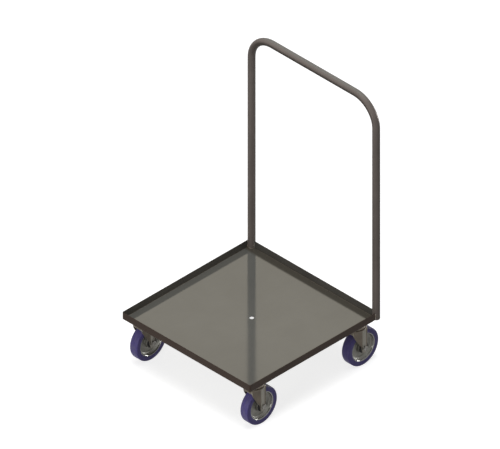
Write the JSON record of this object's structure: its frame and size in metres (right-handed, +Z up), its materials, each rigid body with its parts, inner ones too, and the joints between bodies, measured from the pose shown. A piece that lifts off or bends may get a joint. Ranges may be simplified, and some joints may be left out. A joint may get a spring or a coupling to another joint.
{
  "type": "dish rack dolly",
  "caption": "Shallow square steel pan with a drain hole on swivel plate casters, with a bent tube push handle standing in its rear corners.",
  "frame": {"origin": "on the floor, under the middle of the whole dolly", "axes": "+Z up, X across the dolly along the handle's bar, +Y towards the handle, -Y towards the front"},
  "size_m": [0.5438, 0.5594, 0.9417],
  "materials": {
    "pan_steel": "mill-finished stainless sheet, softly mirroring",
    "tube_steel": null,
    "bar_steel": "mill-finished stainless flat bar",
    "plate_steel": "pressed zinc-plated steel, satin",
    "race_steel": "hardened steel, ground",
    "fork_steel": "pressed steel, dull bronze-grey plating",
    "fastener_steel": "zinc-plated steel",
    "core_aluminium": "die-cast aluminium, dull grey, machined rim",
    "tyre_polyurethane": "solid violet polyurethane, semi-matt"
  },
  "bodies": {
    "root": {"tray_pan": "pan_steel", "push_handle": "tube_steel", "front_stiffener": "bar_steel", "rear_stiffener": "bar_steel", "front_left_top_plate": "plate_steel", "front_left_plate_nut_1": "fastener_steel", "front_left_plate_nut_2": "fastener_steel", "front_left_plate_nut_3": "fastener_steel", "front_left_plate_nut_4": "fastener_steel", "front_left_swivel_race": "race_steel", "front_left_kingpin": "fastener_steel", "front_left_kingpin_nut": "fastener_steel", "front_right_top_plate": "plate_steel", "front_right_plate_nut_1": "fastener_steel", "front_right_plate_nut_2": "fastener_steel", "front_right_plate_nut_3": "fastener_steel", "front_right_plate_nut_4": "fastener_steel", "front_right_swivel_race": "race_steel", "front_right_kingpin": "fastener_steel", "front_right_kingpin_nut": "fastener_steel", "rear_left_top_plate": "plate_steel", "rear_left_plate_nut_1": "fastener_steel", "rear_left_plate_nut_2": "fastener_steel", "rear_left_plate_nut_3": "fastener_steel", "rear_left_plate_nut_4": "fastener_steel", "rear_left_swivel_race": "race_steel", "rear_left_kingpin": "fastener_steel", "rear_left_kingpin_nut": "fastener_steel", "rear_right_top_plate": "plate_steel", "rear_right_plate_nut_1": "fastener_steel", "rear_right_plate_nut_2": "fastener_steel", "rear_right_plate_nut_3": "fastener_steel", "rear_right_plate_nut_4": "fastener_steel", "rear_right_swivel_race": "race_steel", "rear_right_kingpin": "fastener_steel", "rear_right_kingpin_nut": "fastener_steel"},
    "front_left_swivel": {"front_left_swivel_fork": "fork_steel", "front_left_axle_bolt": "fastener_steel", "front_left_axle_nut": "fastener_steel", "front_left_bearing_sleeve": "race_steel"},
    "front_left_wheel": {"front_left_wheel_core": "core_aluminium", "front_left_tyre": "tyre_polyurethane"},
    "front_right_swivel": {"front_right_swivel_fork": "fork_steel", "front_right_axle_bolt": "fastener_steel", "front_right_axle_nut": "fastener_steel", "front_right_bearing_sleeve": "race_steel"},
    "front_right_wheel": {"front_right_wheel_core": "core_aluminium", "front_right_tyre": "tyre_polyurethane"},
    "rear_left_swivel": {"rear_left_swivel_fork": "fork_steel", "rear_left_axle_bolt": "fastener_steel", "rear_left_axle_nut": "fastener_steel", "rear_left_bearing_sleeve": "race_steel"},
    "rear_left_wheel": {"rear_left_wheel_core": "core_aluminium", "rear_left_tyre": "tyre_polyurethane"},
    "rear_right_swivel": {"rear_right_swivel_fork": "fork_steel", "rear_right_axle_bolt": "fastener_steel", "rear_right_axle_nut": "fastener_steel", "rear_right_bearing_sleeve": "race_steel"},
    "rear_right_wheel": {"rear_right_wheel_core": "core_aluminium", "rear_right_tyre": "tyre_polyurethane"}
  },
  "joints": [
    {"name": "front_left_swivel_turn", "type": "hinge", "parent": "root", "child": "front_left_swivel", "pos_m": [0.2304, -0.22455, 0.14334], "axis": [0, 0, 1], "continuous": true},
    {"name": "front_left_wheel_spin", "type": "hinge", "parent": "front_left_swivel", "child": "front_left_wheel", "pos_m": [0.2304, -0.20705, 0.06304], "axis": [1, 0, 0], "continuous": true},
    {"name": "front_right_swivel_turn", "type": "hinge", "parent": "root", "child": "front_right_swivel", "pos_m": [-0.2304, -0.22455, 0.14334], "axis": [0, 0, 1], "continuous": true},
    {"name": "front_right_wheel_spin", "type": "hinge", "parent": "front_right_swivel", "child": "front_right_wheel", "pos_m": [-0.2304, -0.20705, 0.06304], "axis": [1, 0, 0], "continuous": true},
    {"name": "rear_left_swivel_turn", "type": "hinge", "parent": "root", "child": "rear_left_swivel", "pos_m": [0.2304, 0.19865, 0.14334], "axis": [0, 0, 1], "continuous": true},
    {"name": "rear_left_wheel_spin", "type": "hinge", "parent": "rear_left_swivel", "child": "rear_left_wheel", "pos_m": [0.2304, 0.21615, 0.06304], "axis": [1, 0, 0], "continuous": true},
    {"name": "rear_right_swivel_turn", "type": "hinge", "parent": "root", "child": "rear_right_swivel", "pos_m": [-0.2304, 0.19865, 0.14334], "axis": [0, 0, 1], "continuous": true},
    {"name": "rear_right_wheel_spin", "type": "hinge", "parent": "rear_right_swivel", "child": "rear_right_wheel", "pos_m": [-0.2304, 0.21615, 0.06304], "axis": [1, 0, 0], "continuous": true}
  ]
}
